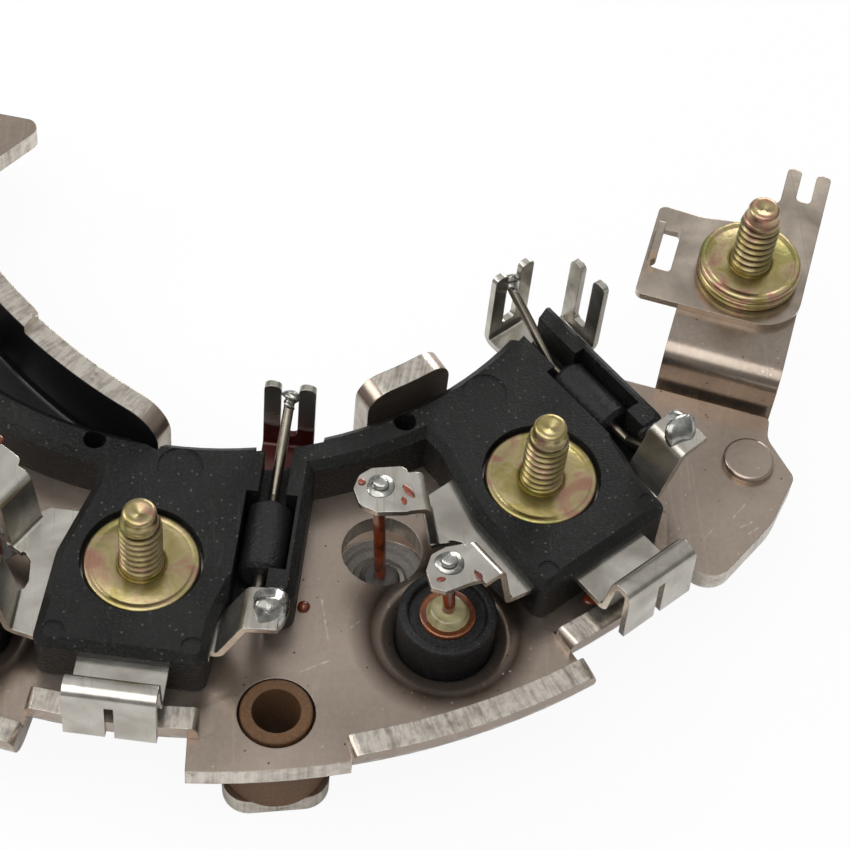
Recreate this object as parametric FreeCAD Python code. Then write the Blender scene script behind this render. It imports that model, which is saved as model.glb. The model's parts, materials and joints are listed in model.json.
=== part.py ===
import FreeCAD, Part
import math
import os

# Alternator rectifier: two stacked heat-sink plates bent like a horseshoe round the shaft, a moulded
# terminal block on top, three phase modules and an output terminal. Lengths in mm, angles in degrees.
# Z is the shaft's axis and z = 0 the underside of the negative plate. A module is drawn with X radial
# through its stud and Y along the ring, and is then turned to its place.

# Modules round the ring
module_angles = (-53.4, -98.6, -158.4)
stud_circle = 60.3

# Heights
sheet = 2.7
plate_gap = 8.0
block_height = 6.7
positive_bottom = sheet + plate_gap
positive_top = positive_bottom + sheet
block_top = positive_top + block_height
gap = 0.3

# Heat-sink plates
plate_inner_radius = 45.1
rim_radius = 76.8
wide_rim_radius = 82.3
wide_rim_angles = (-39.5, -7.0)
ring_angles = (-200.0, -44.0)
arm_inner_edge = ((-31.0, -6.0, 5.0), (-28.9, 4.2, 2.0))
arm_tip = (-22.5, 10.6)
arm_tip_corner = 1.5
arm_edge_slope = -0.235
sheet_bend = 0.7
sheet_outer_bend = sheet + sheet_bend
negative_inner_radius = 48.0
negative_outer_radius = 69.0
negative_angles = (-196.0, -35.0)
ear_radius = 80.5
ear_half_width = 6.0

# Cooling flange that stands up along the left arm
flange_centre = (33.2, 19.5)
flange_radius = 72.7
flange_angles = (-151.0, -122.7)
flange_rise = 2.9
flange_step = 1.2
flange_step_x = (-22.0, -20.0)
flange_corner = 4.0

# Upright inner tab and outer lips
tab_face_radius = plate_inner_radius - 4.6
tab_angles = (-14.7, 1.0)
tab_corner = 3.0
narrow_lip_face = 78.2
narrow_lip_angles = (-7.3, 6.6)
wide_lip_face = 82.7
wide_lip_angles = (-27.0, -7.0)
lip_rise = 1.9
lip_corner = 1.2

# Press-fit diodes
diode_radius = 5.5
diode_height = 7.6
positive_diode_at = (66.9, -19.1)
positive_diode_drop = 0.7
negative_diode_at = (54.4, -18.1)
lead_hole_radius = 4.6
collar_wall = 1.9
collar_length = 1.7
collar_mouth = 2.2
cup_rim = 1.0
cup_dish = 0.7
seal_radius = 3.2
seal_height = 0.5
bead_radius = 2.4
bead_height = 0.9
lead_radius = 0.7
lead_hole_gap = 0.3
lead_above_tab = 0.9

# Terminal block
band_inner_radius = 44.2
band_width = 4.4
lobe_inset = 2.0
rib_inset = 0.2
band_end_beyond_stud = 16.0
block_edge_bevel = 1.0
lobe_front = 72.2
lobe_outline = ((30.0, -7.0), (50.9, -7.0, 1.5), (60.1, -9.5, 6.0), (lobe_front, -10.0, 1.4),
                (lobe_front, 8.8, 1.4), (66.3, 9.2, 3.0), (61.3, 10.6, 0.8), (61.0, 12.0), (30.0, 12.0))
washer_recess_gap = 0.3
ejector_at = (47.6, 2.2)
ejector_radius = 2.6
mark_depth = 0.15
pip_radius = 1.2
pip_places = ((70.5, -7.8), (70.5, 7.2))
band_hole_at = (45.3, -7.9)
band_hole_radius = 1.3
band_hole_depth = 4.0
band_recess = (10.2, 17.7, 1.2)

# Exciter diodes and their channels
exciter_radius = 2.6
exciter_length = 9.0
exciter_start = 49.9
exciter_offset = 12.9
exciter_bevel = 0.5
channel_gap = 0.3
channel_floor_gap = 0.3
channel_depth = 6.05
rib_wall = 1.4
rib_end = 63.2
rib_start = 30.0
rib_slant = ((60.0, 9.0), (rib_end, 12.6, 1.2))
rib_corner = 1.8
channel_narrow_at = 59.4
channel_narrow = 1.0
slot_half_width = 1.6
slot_floor_below_lead = 0.25
exciter_lead_radius = 0.6

# Phase busbars
bus_sheet = 0.8
bus_depth = 2.1
bus_bend = 0.5
bus_outline = ((53.8, -11.4, 0.8), (54.9, -12.9), (59.2, -15.4, 0.3), (60.1, -12.9, 0.6), (61.0, -12.2, 0.8),
               (63.6, -11.9, 0.8), (64.6, -12.2, 0.3), (64.9, -12.7), (69.9, -12.7), (70.4, -10.2),
               (70.4, 9.0), (64.5, 9.0), (64.5, 7.0), (54.5, 7.0), (53.8, -6.0))
tab_rise = 7.4
riser_width = 5.0
negative_riser = (57.0, -13.9, -120.0, 1.2, 3.4)
negative_tab = ((51.7, -20.8, 0.5), (50.7, -19.2, 1.0), (50.8, -17.5, 1.0), (52.9, -14.2, 1.0),
                (58.2, -17.2, 1.0), (55.7, -20.7, 1.0), (53.8, -21.6, 1.0))
positive_riser = (67.4, -13.2, -90.0, 1.7, 3.8)
positive_tab = ((64.7, -21.1, 0.4), (63.5, -19.4, 0.8), (63.7, -17.5, 0.8), (64.6, -15.6, 0.8),
                (69.8, -15.6, 0.8), (68.8, -18.2, 1.5), (68.1, -21.1, 0.4), (66.8, -22.1, 0.4))
positive_tab_hole = (65.6, -18.6)
negative_tab_hole = (53.2, -18.3)
clip_width = 10.0
clip_rise = 6.0
clip_leg_drop = 1.7
clip_span = 1.3
clip_notch = 1.0
clip_at = 77.2
clip_root = 68.0
clip_lean = 0.9
clip_leg_lean = 1.2
terminal_centre = 67.1
terminal_width = 5.2
terminal_slot = 1.9
terminal_slot_from = 13.6
terminal_path = ((12.9, 23.2), (16.2, 23.6))
terminal_root = (8.0, 10.2)

# Studs and washers: a plain shank under the washer, then the thread, then the dog point
shank_radius = 2.75
shank_above_washer = 0.2
stud_radius = 2.413
dog_radius = 1.98
dog_length = 1.8
stud_chamfer = 0.5
stud_above_block = 7.6
stud_head_radius = 4.2
stud_head_height = 1.3
washer_radius = 6.5
washer_sheet = 1.65
washer_round = 0.3
washer_bore_gap = 0.3

# Collector strip
collector_sheet = 0.8
collector_lift = 0.8
collector_radii = (44.9, 47.2)
collector_face = 38.4
collector_top_rise = 5.9
collector_root = 46.0
fork_width = 5.9
fork_slot = 2.0
fork_slot_length = 9.3
fork_tip = 0.8
fork_offset = 13.4
end_fork_face = 20.7
end_fork_centre = 44.7

end_fork_start = 17.3

# Output terminal, drawn from the output stud with U across and V away from the plate's edge
output_at = (63.26, -19.0)
output_angle = -18.5
plate_end_edge = -15.3
plate_end_outline = ((-24.0, plate_end_edge), (7.1, plate_end_edge, 0.8), (7.4, -18.3, 2.5), (11.6, -22.9, 1.5),
                     (10.3, -30.1, 8.0), (5.3, -41.0, 3.0), (1.6, -38.3, 1.0), (-20.0, -38.0))
bracket_sheet = 2.0
bracket_bend = 0.6
bracket_riser = -12.4
bracket_foot = -26.5
bracket_tip = 6.0
bracket_half_width = 7.05
bracket_foot_ear = 2.9
bracket_ear_end = -18.5
bracket_rise = 8.9
fork_plate_sheet = 0.9
fork_plate_lug = 3.0
fork_plate_outline = ((-12.4, -7.5, 1.0), (7.2, -7.5, 5.0), (7.2, 18.5, 0.7), (5.4, 18.5, 0.7), (5.4, 13.4, 0.6),
                      (3.5, 13.4, 0.6), (3.5, 18.5, 0.7), (1.7, 18.5, 0.7), (1.7, 12.7, 1.5), (-1.8, 7.7, 2.5),
                      (-7.2, 6.8, 2.5), (-12.4, 7.1, 1.0))
fork_plate_window = ((-11.6, -3.0, 0.5), (-9.0, -3.0, 0.5), (-9.0, 3.4, 0.5), (-11.6, 3.4, 0.5))
fork_plate_lug_at = (-11.9, 0.2)
fork_plate_lug_width = 5.0
output_stud_above = 7.8
output_head_radius = 4.5
output_head_height = 2.0
output_washer_radius = 6.2
output_washer_sheet = 1.2
output_washer_count = 2
rivet_radius = 2.0
raised_rivet_at = (5.9, -22.5)
flush_rivet_at = (-3.0, -20.4)
rivet_head_radius = 3.1
rivet_head_height = 1.0
rivet_foot_height = 0.8

# Mounting points
mount_circle = 75.4
mount_offset = -32.3
mount_bore = 2.7
bush_radius = 4.0
bush_shoulder_radius = 6.0
bush_proud = 0.4

# Heights and radii that follow
band_outer_radius = band_inner_radius + band_width
rib_side = exciter_offset + exciter_radius + channel_gap + rib_wall
bus_top = block_top - bus_depth
bus_bottom = bus_top - bus_sheet
tab_bottom = bus_bottom + tab_rise
tab_top = tab_bottom + bus_sheet
washer_top = bus_top + washer_sheet
shank_top = washer_top + shank_above_washer
exciter_height = block_top - channel_depth + channel_floor_gap + exciter_radius
fork_top = block_top + collector_top_rise
collector_bottom = positive_top + collector_lift
bracket_bottom = positive_bottom - bracket_sheet
bracket_top = bracket_bottom + bracket_rise + bracket_sheet
fork_plate_top = bracket_top + fork_plate_sheet
output_washer_top = fork_plate_top + output_washer_count * output_washer_sheet
output_shank_top = output_washer_top + shank_above_washer


def at(shape, x, y, z):
    shape.translate(FreeCAD.Vector(x, y, z))
    return shape


def turned(shape, angle, centre=(0, 0)):
    shape = shape.copy()
    shape.rotate(FreeCAD.Vector(centre[0], centre[1], 0), FreeCAD.Vector(0, 0, 1), angle)
    return shape


def rod(radius, low, high, x=0, y=0):
    return Part.makeCylinder(radius, high - low, FreeCAD.Vector(x, y, low))


# A closed outline through the points given as (x, y) or (x, y, corner radius), with tangent arcs
def rounded_wire(points):
    vertices = [FreeCAD.Vector(p[0], p[1], 0) for p in points]
    radii = [p[2] if len(p) > 2 else 0 for p in points]
    count = len(vertices)
    trims = []
    for i in range(count):
        back = (vertices[i - 1] - vertices[i]).normalize()
        ahead = (vertices[(i + 1) % count] - vertices[i]).normalize()
        half = back.getAngle(ahead) / 2
        trims.append((back, ahead, radii[i] / math.tan(half) if radii[i] else 0, half))
    edges = []
    for i in range(count):
        back, ahead, trim, half = trims[i]
        corner = vertices[i]
        start = corner + back * trim
        end = corner + ahead * trim
        if trim:
            inward = (back + ahead).normalize()
            middle = corner + inward * (radii[i] / math.sin(half) - radii[i])
            edges.append(Part.Arc(start, middle, end).toShape())
        following = (i + 1) % count
        next_back, _, next_trim, _ = trims[following]
        next_start = vertices[following] + next_back * next_trim
        if (next_start - end).Length > 1e-6:
            edges.append(Part.LineSegment(end, next_start).toShape())
    return Part.Wire(Part.__sortEdges__(edges))


def prism(points, low, high):
    solid = Part.Face(rounded_wire(points)).extrude(FreeCAD.Vector(0, 0, high - low))
    return at(solid, 0, 0, low)


# A flat sector of a ring between two angles
def sector(inner, outer, first, last, low, high):
    low_angle, high_angle = min(first, last), max(first, last)
    ring = Part.makeCylinder(outer, high - low, FreeCAD.Vector(0, 0, low), FreeCAD.Vector(0, 0, 1),
                             high_angle - low_angle)
    ring.rotate(FreeCAD.Vector(0, 0, 0), FreeCAD.Vector(0, 0, 1), low_angle)
    return ring.cut(rod(inner, low - 1, high + 1))


# A closed profile in the XZ plane, turned about a vertical axis through centre
def revolved(points, first, last, centre=(0, 0)):
    wire = rounded_wire(points)
    wire.rotate(FreeCAD.Vector(0, 0, 0), FreeCAD.Vector(1, 0, 0), 90)
    low_angle, high_angle = min(first, last), max(first, last)
    solid = Part.Face(wire).revolve(FreeCAD.Vector(0, 0, 0), FreeCAD.Vector(0, 0, 1),
                                    high_angle - low_angle)
    solid.rotate(FreeCAD.Vector(0, 0, 0), FreeCAD.Vector(0, 0, 1), low_angle)
    return at(solid, centre[0], centre[1], 0)


# The section of sheet that leaves a plate and bends up; side is 1 where the named face looks outward
def upright_section(face, top, side):
    back = face - side * sheet
    root = face - side * (sheet_outer_bend + 1.2)
    return [(face, top), (back, top), (back, positive_top, sheet_bend),
            (root, positive_top), (root, positive_bottom), (face, positive_bottom, sheet_outer_bend)]


# A strip of sheet bent along a path of (distance, height) points on its lower or outer face
def bent_strip(path, thickness, bend, width):
    points = [FreeCAD.Vector(p[0], p[1], 0) for p in path]
    runs = [(b - a).normalize() for a, b in zip(points, points[1:])]
    lefts = [FreeCAD.Vector(-run.y, run.x, 0) for run in runs]
    near = [(points[0].x, points[0].y)]
    far = [(points[0].x + lefts[0].x * thickness, points[0].y + lefts[0].y * thickness)]
    for i in range(len(runs) - 1):
        point = points[i + 1]
        miter = (lefts[i] + lefts[i + 1]).normalize()
        reach = thickness / miter.dot(lefts[i])
        left_turn = runs[i].x * runs[i + 1].y > runs[i].y * runs[i + 1].x
        near_round, far_round = (bend + thickness, bend) if left_turn else (bend, bend + thickness)
        near.append((point.x, point.y, near_round))
        far.append((point.x + miter.x * reach, point.y + miter.y * reach, far_round))
    near.append((points[-1].x, points[-1].y))
    far.append((points[-1].x + lefts[-1].x * thickness, points[-1].y + lefts[-1].y * thickness))
    wire = rounded_wire(near + far[::-1])
    wire.rotate(FreeCAD.Vector(0, 0, 0), FreeCAD.Vector(1, 0, 0), 90)
    strip = Part.Face(wire).extrude(FreeCAD.Vector(0, width, 0))
    return at(strip, 0, -width / 2, 0)


# A prism whose outline is given as (y, z) points and which runs along X
def side_prism(points, near, far):
    solid = Part.Face(rounded_wire(points)).extrude(FreeCAD.Vector(0, 0, far - near))
    solid = at(solid, 0, 0, near)
    solid.rotate(FreeCAD.Vector(0, 0, 0), FreeCAD.Vector(1, 1, 1), 120)
    return solid


# A round wire along straight runs; each inner point carries its bend radius
def round_wire(route, radius):
    points = [FreeCAD.Vector(p[0], p[1], p[2]) for p in route]
    edges = []
    start = points[0]
    for i in range(1, len(points) - 1):
        back = (points[i - 1] - points[i]).normalize()
        ahead = (points[i + 1] - points[i]).normalize()
        half = back.getAngle(ahead) / 2
        bend = route[i][3]
        trim = bend / math.tan(half)
        middle = points[i] + (back + ahead).normalize() * (bend / math.sin(half) - bend)
        edges.append(Part.LineSegment(start, points[i] + back * trim).toShape())
        edges.append(Part.Arc(points[i] + back * trim, middle, points[i] + ahead * trim).toShape())
        start = points[i] + ahead * trim
    edges.append(Part.LineSegment(start, points[-1]).toShape())
    circle = Part.Wire(Part.makeCircle(radius, points[0], points[1] - points[0]))
    return Part.Wire(edges).makePipeShell([circle], True, False)


def on_module(point, angle):
    a = math.radians(angle)
    return (point[0] * math.cos(a) - point[1] * math.sin(a), point[0] * math.sin(a) + point[1] * math.cos(a))


def on_output(u, v):
    point = on_module((u, v), output_angle)
    return (output_at[0] + point[0], output_at[1] + point[1])


def to_output(shape):
    return at(turned(shape, output_angle), output_at[0], output_at[1], 0)


def mount_places():
    return [on_module((mount_circle, 0), angle + mount_offset) for angle in module_angles]


# The neck drawn round a press-fit diode, with a rounded mouth; direction is 1 for a neck that points up
def with_collar(plate, place, face_z, direction):
    outer = diode_radius + collar_wall
    end = face_z + direction * (sheet + collar_length)
    middle = face_z + direction * sheet / 2
    plate = plate.fuse(rod(outer, min(middle, end), max(middle, end), *place))
    wide = diode_radius + collar_mouth + 1
    tool = revolved([(0, end + direction), (diode_radius, end + direction), (diode_radius, face_z, collar_mouth),
                     (wide, face_z), (wide, face_z - direction), (0, face_z - direction)], 0, 360, place)
    return plate.cut(tool)


def upright_tab(face, top, side, angles, corner):
    solid = revolved(upright_section(face, top, side), angles[0], angles[1])
    middle = sum(angles) / 2
    reach = face * math.sin(math.radians((angles[1] - angles[0]) / 2))
    low = positive_bottom - 1
    window = side_prism([(-reach, low), (reach, low), (reach, top, corner), (-reach, top, corner)], 10, 100)
    return solid.common(turned(window, middle))


def left_flange():
    top = block_top + flange_rise + flange_step
    solid = revolved(upright_section(flange_radius, top, -1), flange_angles[0], flange_angles[1], flange_centre)
    left, right = flange_step_x
    upper = side_prism([(left, top + 1), (left, top), (right, top - flange_step), (60, top - flange_step),
                        (60, top + 1)], 0, 90)
    upper.rotate(FreeCAD.Vector(0, 0, 0), FreeCAD.Vector(0, 0, 1), -90)
    solid = solid.cut(upper)
    low = positive_bottom - 1
    high = top - flange_step
    window = side_prism([(-90, low), (0, low), (0, high, flange_corner), (-20, high), (-20, top + 2),
                         (-90, top + 2)], 60, 90)
    window = at(turned(window, flange_angles[1]), flange_centre[0], flange_centre[1], 0)
    return solid.common(window)


# The arm's straight end edge at distance x
def arm_edge(x):
    return (x, arm_tip[1] + arm_edge_slope * (x - arm_tip[0]))


# The sheet between the ring's own inner edge and the left flange, with the plain end of the arm
def left_arm():
    low, high = positive_bottom, positive_top
    reach = sector(12, plate_inner_radius + 1, -172, flange_angles[1] + 21, low, high)
    reach = reach.cut(rod(flange_radius + sheet_outer_bend, low - 1, high + 1, *flange_centre))
    end = on_module((flange_radius, 0), flange_angles[0])
    end = (end[0] + flange_centre[0], end[1] + flange_centre[1])
    outline = [(end[0], end[1], 1.0)] + list(arm_inner_edge) + [arm_tip + (arm_tip_corner,), arm_edge(-60)]
    tip = prism(outline + [(-60, end[1] - 2), (end[0] - 3, end[1] - 1.7)], low, high)
    return reach.fuse(tip.common(rod(plate_inner_radius + 1, low - 1, high + 1)))


def right_end():
    outline = [on_output(c[0], c[1]) + tuple(c[2:]) for c in plate_end_outline]
    return prism(outline, positive_bottom, positive_top).cut(rod(plate_inner_radius, 0, block_top))


def positive_plate():
    low, high = positive_bottom, positive_top
    parts = [right_end(), left_arm(), left_flange()]
    parts.append(turned(upright_tab(tab_face_radius, block_top + flange_rise, -1, tab_angles, tab_corner),
                        module_angles[0]))
    for angle in module_angles:
        inner_lip = wide_lip_face - sheet_outer_bend
        parts.append(sector(70, inner_lip, angle + wide_rim_angles[0], angle + wide_rim_angles[1], low, high))
        parts.append(sector(70, wide_rim_radius, angle + wide_rim_angles[0], angle + wide_lip_angles[0],
                            low, high))
        for face, angles in ((narrow_lip_face, narrow_lip_angles), (wide_lip_face, wide_lip_angles)):
            lip = upright_tab(face, high + lip_rise, 1, angles, lip_corner)
            parts.append(turned(lip, angle))
    plate = sector(plate_inner_radius, rim_radius, *ring_angles, low, high).fuse(parts)
    past_end = prism([arm_edge(-10), arm_edge(-110), (-110, 60), (-10, 60)], low - 1, block_top)
    plate = plate.cut(past_end)
    for angle in module_angles:
        plate = with_collar(plate, on_module(positive_diode_at, angle), high, -1)
        hole = on_module(negative_diode_at, angle)
        plate = plate.cut(rod(lead_hole_radius, low - 1, high + 1, *hole))
    for place in mount_places():
        plate = plate.cut(rod(bush_radius + gap, low - 1, high + 1, *place))
    for place in (raised_rivet_at, flush_rivet_at):
        plate = plate.cut(rod(rivet_radius, low - 1, high + 1, *on_output(*place)))
    return plate.removeSplitter()


def negative_plate():
    plate = sector(negative_inner_radius, negative_outer_radius, *negative_angles, 0, sheet)
    for place in mount_places():
        angle = math.degrees(math.atan2(place[1], place[0]))
        root = negative_outer_radius - 4
        ear = prism([(root, -ear_half_width), (ear_radius, -ear_half_width, 3), (ear_radius, ear_half_width, 3),
                     (root, ear_half_width)], 0, sheet)
        plate = plate.fuse(turned(ear, angle)).cut(rod(mount_bore, -1, sheet + 1, *place))
    for angle in module_angles:
        plate = with_collar(plate, on_module(negative_diode_at, angle), 0, 1)
    return plate.removeSplitter()


# The block over one module, trimmed to the band's circle
def block_lobe():
    lobe = prism(lobe_outline, positive_top, block_top)
    lobe = lobe.cut(rod(band_inner_radius + lobe_inset, 0, block_top + 1))
    outline = [(rib_start, rib_slant[0][1]), *rib_slant, (rib_end, rib_side, rib_corner), (rib_start, rib_side)]
    rib = prism(outline, positive_top, block_top).cut(rod(band_inner_radius + rib_inset, 0, block_top + 1))
    return lobe.fuse(rib)


def exciter_channel():
    half = exciter_radius + channel_gap
    left = exciter_offset - half
    right = exciter_offset + half
    start = exciter_start - channel_gap
    mouth = exciter_offset + channel_narrow
    channel = prism([(start, left), (lobe_front, left), (lobe_front, mouth), (channel_narrow_at, mouth),
                     (channel_narrow_at, right), (start, right)], block_top - channel_depth, block_top + 1)
    slot_floor = exciter_height - exciter_lead_radius - slot_floor_below_lead
    slot_start = collector_face - 3
    slot_length = exciter_start + 1 - slot_start
    slot = Part.makeBox(slot_length, 2 * slot_half_width, block_top - slot_floor + 1,
                        FreeCAD.Vector(slot_start, exciter_offset - slot_half_width, slot_floor))
    first, last, depth = band_recess
    recess = Part.makeBox(band_outer_radius, last - first, block_height + 2,
                          FreeCAD.Vector(0, first, positive_top - 1))
    recess = recess.common(rod(band_inner_radius + depth, 0, block_top + 1))
    return [channel, slot, recess]


def block_marks():
    depth = mark_depth
    marks = [rod(ejector_radius, block_top - depth, block_top + 1, *ejector_at),
             rod(band_hole_radius, block_top - band_hole_depth, block_top + 1, *band_hole_at),
             rod(washer_radius + washer_recess_gap, bus_top, block_top + 1, stud_circle, 0)]
    for place in pip_places:
        marks.append(rod(pip_radius, block_top - depth, block_top + 1, *place))
    return marks


def terminal_block(insets):
    angles = module_angles
    band = sector(band_inner_radius, band_outer_radius, angles[-1] - band_end_beyond_stud, angles[0] + 26,
                  positive_top, block_top)
    past_rib = Part.makeBox(40, 40, 40, FreeCAD.Vector(30, rib_side, 0))
    band = band.cut(turned(past_rib, angles[0]))
    block = band.fuse([turned(block_lobe(), angle) for angle in angles]).removeSplitter()
    rim = [edge for edge in block.Edges if all(abs(v.Z - block_top) < 1e-6 for v in edge.Vertexes)]
    block = block.makeChamfer(block_edge_bevel, rim)
    for angle in angles:
        for tool in exciter_channel() + block_marks():
            block = block.cut(turned(tool, angle))
    wall = revolved([(flange_radius - 1, 0), (flange_radius + sheet_outer_bend + gap, 0),
                     (flange_radius + sheet_outer_bend + gap, 40), (flange_radius - 1, 40)],
                    flange_angles[0], flange_angles[1] + 0.5, flange_centre)
    for tool in [wall] + insets:
        block = block.cut(tool)
    return block


# A riser from the busbar's edge up to a lead tab, turned to the way it leans
def riser(x, y, heading, lean, reach):
    strip = bent_strip([(-2, bus_bottom), (0, bus_bottom), (lean, tab_bottom), (reach, tab_bottom)],
                       bus_sheet, bus_bend, riser_width)
    return at(turned(strip, heading), x, y, 0)


def busbar():
    flat = prism(bus_outline, bus_bottom, bus_top)
    parts = [riser(*negative_riser), riser(*positive_riser)]
    parts += [prism(outline, tab_bottom, tab_top) for outline in (negative_tab, positive_tab)]
    clip_top = bus_top + clip_rise - bus_sheet
    fold = clip_at + clip_lean + clip_span
    clip = bent_strip([(clip_root, bus_bottom), (clip_at, bus_bottom), (clip_at + clip_lean, clip_top),
                       (fold, clip_top), (clip_at + clip_leg_lean + clip_span, bus_top - clip_leg_drop)],
                      bus_sheet, bus_bend, clip_width)
    notch = Part.makeBox(4, clip_notch, 20, FreeCAD.Vector(fold - bus_bend + 0.1, -clip_notch / 2, 2))
    parts.append(clip.cut(notch))
    root = [(x, bus_bottom) for x in terminal_root]
    terminal = bent_strip(root + list(terminal_path), bus_sheet, bus_bend, terminal_width)
    terminal = terminal.cut(Part.makeBox(10, terminal_slot, 40, FreeCAD.Vector(terminal_slot_from,
                                                                            -terminal_slot / 2, 0)))
    parts.append(at(turned(terminal, 90), terminal_centre, 0, 0))
    bar = flat.fuse(parts)
    for point in (positive_tab_hole, negative_tab_hole):
        bar = bar.cut(rod(lead_radius + lead_hole_gap, tab_bottom - 1, tab_top + 1, *point))
    return bar.cut(rod(shank_radius, bus_bottom - 1, bus_top + 1, stud_circle, 0)).removeSplitter()


def stud(head_radius, head_bottom, seat, shank_end, thread_top):
    tip = thread_top + dog_length
    points = [(0, head_bottom), (head_radius, head_bottom, 0.3), (head_radius, seat, 0.2), (shank_radius, seat),
              (shank_radius, shank_end), (stud_radius, shank_end), (stud_radius, thread_top - stud_chamfer),
              (dog_radius, thread_top), (dog_radius, tip - stud_chamfer), (dog_radius - stud_chamfer, tip), (0, tip)]
    return revolved(points, 0, 360)


def washer(radius, bore, low, high):
    points = [(bore, low), (radius, low, washer_round), (radius, high, washer_round), (bore, high)]
    return revolved(points, 0, 360)


def diode_cup(low):
    top = low + diode_height
    rim = diode_radius - cup_rim
    points = [(0, low), (diode_radius, low, 0.4), (diode_radius, top, 0.4), (rim, top, 0.3),
              (rim - 0.3, top - cup_dish), (0, top - cup_dish)]
    return revolved(points, 0, 360)


def diode_seal(low):
    step = low + seal_height
    points = [(lead_radius, low), (seal_radius, low), (seal_radius, step, 0.3), (bead_radius, step),
              (bead_radius - 0.5, step + bead_height, 0.5), (lead_radius, step + bead_height)]
    return revolved(points, 0, 360)


# A diode's lead: straight out of the seal, leaning over, then straight through its tab
def diode_lead(place, low, hole):
    knee = low + seal_height + bead_height + 1.0
    return round_wire([place + (low,), place + (knee, 1.0), hole + (tab_bottom - 1.4, 1.0),
                       hole + (tab_top + lead_above_tab,)], lead_radius)


def exciter_body():
    body = rod(exciter_radius, 0, exciter_length)
    body = body.makeChamfer(exciter_bevel, [body.Edges[0], body.Edges[2]])
    body.rotate(FreeCAD.Vector(0, 0, 0), FreeCAD.Vector(0, 1, 0), 90)
    return at(body, exciter_start, exciter_offset, exciter_height)


def exciter_leads():
    z = exciter_height
    y = exciter_offset
    inner = round_wire([(exciter_start, y, z), (47.8, y, z, 1.0), (collector_face - 0.6, fork_offset, 23.4)],
                       exciter_lead_radius)
    outer_end = exciter_start + exciter_length
    outer = round_wire([(outer_end, y, z), (61.2, y, z, 1.0), (64.6, y, 18.8, 1.2),
                        (terminal_centre, 14.7, 21.4, 0.8), (terminal_centre, 14.8, 25.2)], exciter_lead_radius)
    return inner.fuse(outer)


# A fork at the end of a tongue that runs along X and turns up at distance reach
def fork(start, reach):
    tongue = bent_strip([(start, collector_bottom), (reach, collector_bottom), (reach, fork_top)],
                        collector_sheet, bus_bend, fork_width)
    half = fork_width / 2
    slot = fork_slot / 2
    low = fork_top - fork_slot_length
    outline = side_prism([(-half, 0), (half, 0), (half, fork_top, fork_tip), (slot, fork_top, fork_tip),
                          (slot, low, 0.6), (-slot, low, 0.6), (-slot, fork_top, fork_tip),
                          (-half, fork_top, fork_tip)], start - 1, reach + 1)
    return tongue.common(outline)


def collector_strip():
    angles = module_angles
    fork_angle = math.degrees(math.atan2(fork_offset, collector_root))
    strip = sector(collector_radii[0], collector_radii[1], angles[-1] + fork_angle - 3,
                   angles[0] + 22.5, collector_bottom, collector_bottom + collector_sheet)
    parts = []
    for angle in angles:
        tongue = at(turned(fork(0, collector_root - collector_face), 180), collector_root, fork_offset, 0)
        parts.append(turned(tongue, angle))
    end = at(turned(fork(end_fork_start, end_fork_face), 90), end_fork_centre, 0, 0)
    parts.append(turned(end, angles[0]))
    return strip.fuse(parts).removeSplitter()


def output_bracket():
    path = [(bracket_foot, bracket_bottom), (bracket_riser, bracket_bottom),
            (bracket_riser, bracket_bottom + bracket_rise), (bracket_tip, bracket_bottom + bracket_rise)]
    strip = bent_strip(path, bracket_sheet, bracket_bend, 2 * bracket_half_width)
    strip = turned(strip, 90)
    inner = bracket_half_width - 1
    outer = bracket_half_width + bracket_foot_ear
    ear = prism([(inner, bracket_foot), (outer, bracket_foot, 2), (outer, bracket_ear_end, 2),
                 (inner, bracket_ear_end)], bracket_bottom, positive_bottom)
    bracket = strip.fuse(ear)
    bracket = bracket.cut(rod(shank_radius, bracket_bottom, bracket_top + 1))
    for place in (raised_rivet_at, flush_rivet_at):
        bracket = bracket.cut(rod(rivet_radius, 0, positive_bottom + 1, *place))
    return to_output(bracket.removeSplitter())


def output_fork_plate():
    low, high = bracket_top - 1, fork_plate_top + 1
    plate = prism(fork_plate_outline, bracket_top, fork_plate_top).cut(prism(fork_plate_window, low, high))
    path = [(-0.4, bracket_top), (fork_plate_sheet, bracket_top), (fork_plate_sheet, bracket_top + fork_plate_lug)]
    lug = bent_strip(path, fork_plate_sheet, 0.3, fork_plate_lug_width)
    lug = at(lug, *fork_plate_lug_at, 0)
    plate = plate.fuse(lug).cut(rod(shank_radius + washer_bore_gap, low, high))
    return to_output(plate.removeSplitter())


def rivet(place, head_radius, head_top):
    foot = bracket_bottom - rivet_foot_height
    points = [(0, foot), (rivet_head_radius, foot, 0.3), (rivet_head_radius, bracket_bottom),
              (rivet_radius, bracket_bottom), (rivet_radius, positive_top)]
    if head_radius > rivet_radius:
        points += [(head_radius, positive_top), (head_radius, head_top, 0.5)]
    points.append((0, head_top))
    return at(revolved(points, 0, 360), *on_output(*place), 0)


def mounting_bush(place):
    top = positive_top + bush_proud
    points = [(mount_bore, sheet), (bush_shoulder_radius, sheet, 0.3), (bush_shoulder_radius, positive_bottom, 0.3),
              (bush_radius, positive_bottom), (bush_radius, top, 0.3), (mount_bore, top)]
    return at(revolved(points, 0, 360), place[0], place[1], 0)


def save(name, shape):
    if not shape.isValid() or not shape.Solids:
        raise ValueError(name + " is not a sound solid")
    if len(shape.Solids) == 1:
        shape = shape.Solids[0]
    shape.exportStep("parts/" + name + ".step")
    print(name, round(shape.Volume, 1), len(shape.Solids))


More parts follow.
